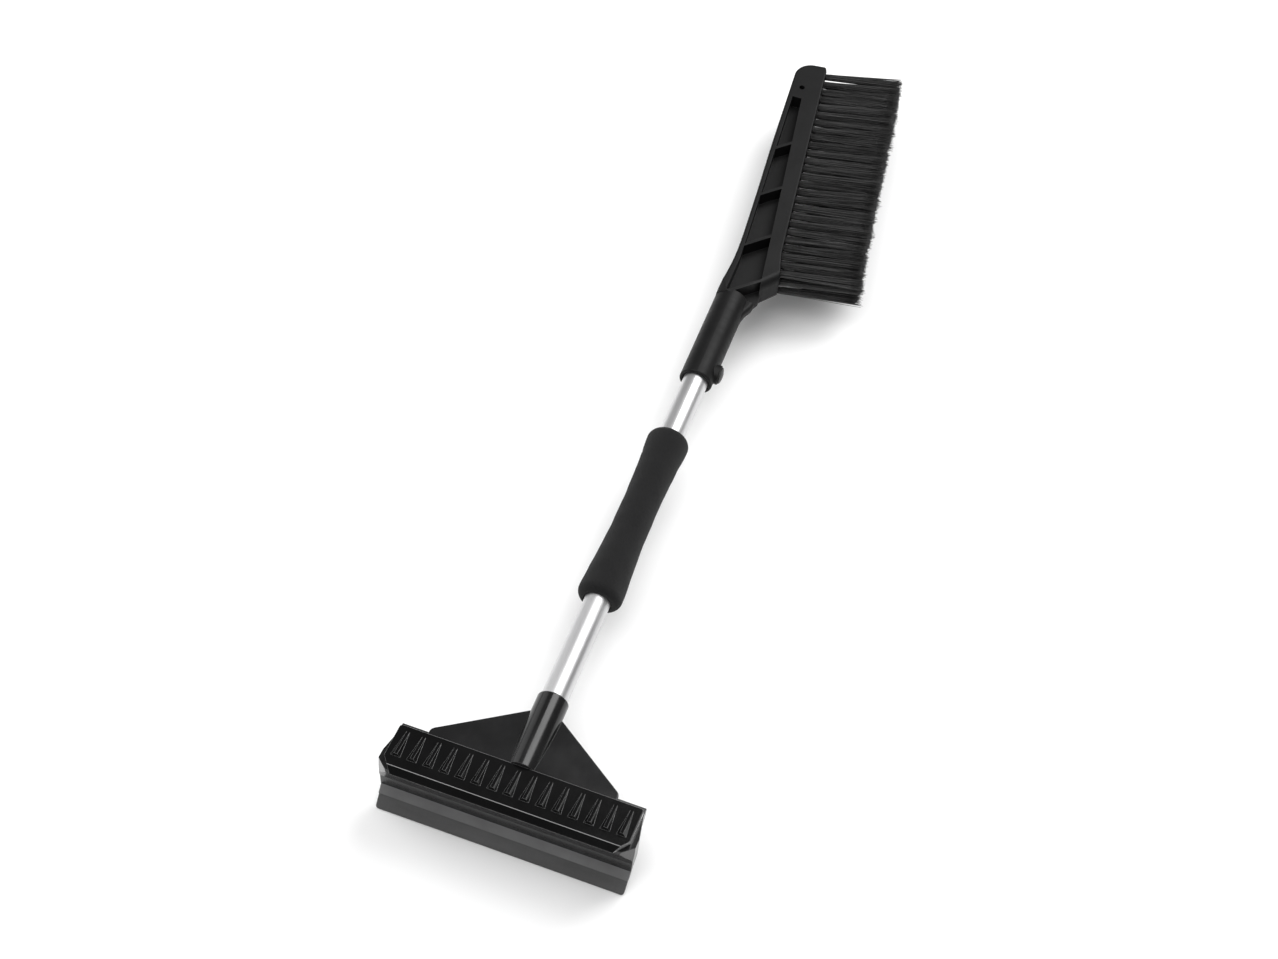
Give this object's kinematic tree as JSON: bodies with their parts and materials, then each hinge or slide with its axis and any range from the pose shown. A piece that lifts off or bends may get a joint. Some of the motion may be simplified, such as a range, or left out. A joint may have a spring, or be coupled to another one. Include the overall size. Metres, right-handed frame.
{
  "type": "snow brush",
  "caption": "Long-handled snow brush with a bristled frame, push-button socket and foam grip, and a wide ribbed ice blade backed by a rubber squeegee.",
  "frame": {"origin": "middle of the bounding box in X and Y, at the lowest point, which is the edge of the squeegee lip", "axes": "+Y runs along the handle tube from the scraper to the brush, +X is the way the bristles point and half the blade's width, +Z is the front, the side that the ribbed blade faces"},
  "size_m": [0.21, 0.8678, 0.0703],
  "materials": {
    "brush_plastic": "satin moulded",
    "bristle_nylon": "filament",
    "staple_wire": "drawn wire",
    "button_plastic": "satin",
    "pin_steel": "turned",
    "spring_steel": "tempered strip",
    "tube_aluminium": "satin anodised",
    "plug_plastic": "moulded",
    "grip_foam": "fine cell foam",
    "scraper_plastic": "polished",
    "blade_plastic": "polished",
    "strip_plastic": "satin",
    "lip_rubber": "smooth",
    "screw_steel": "zinc plated",
    "rivet_aluminium": "satin"
  },
  "bodies": {
    "handle": {"handle_tube": "tube_aluminium", "tube_end_plug": "plug_plastic", "tube_foot_plug": "plug_plastic", "foam_grip": "grip_foam", "scraper_head": "scraper_plastic", "ice_blade": "blade_plastic", "squeegee_strip": "strip_plastic", "squeegee_lip": "lip_rubber", "blade_screws": "screw_steel", "socket_rivet": "rivet_aluminium", "snap_spring": "spring_steel"},
    "brush_head": {"brush_body": "brush_plastic", "bristle_row_1": "bristle_nylon", "bristle_row_2": "bristle_nylon", "bristle_row_3": "bristle_nylon", "bristle_row_4": "bristle_nylon", "bristle_row_5": "bristle_nylon", "tuft_staples": "staple_wire"},
    "button": {"release_button": "button_plastic"},
    "lock_pin": {"snap_pin": "pin_steel"}
  },
  "joints": [
    {"name": "brush_swivel", "type": "hinge", "parent": "handle", "child": "brush_head", "pos_m": [0, 0.04166, 0.05156], "axis": [0, 1, 0], "range_deg": [-90, 90]},
    {"name": "button_press", "type": "slide", "parent": "brush_head", "child": "button", "axis": [-1, 0, 0], "range_m": [0, 0.0025], "stiffness_N_per_m": 1800, "springref_m": -0.002},
    {"name": "pin_press", "type": "slide", "parent": "handle", "child": "lock_pin", "axis": [-1, 0, 0], "range_m": [0, 0.0025], "deforming": ["snap_spring"]}
  ],
  "couplings": [
    {"joint": "pin_press", "follows": "button_press", "ratio": 1}
  ]
}
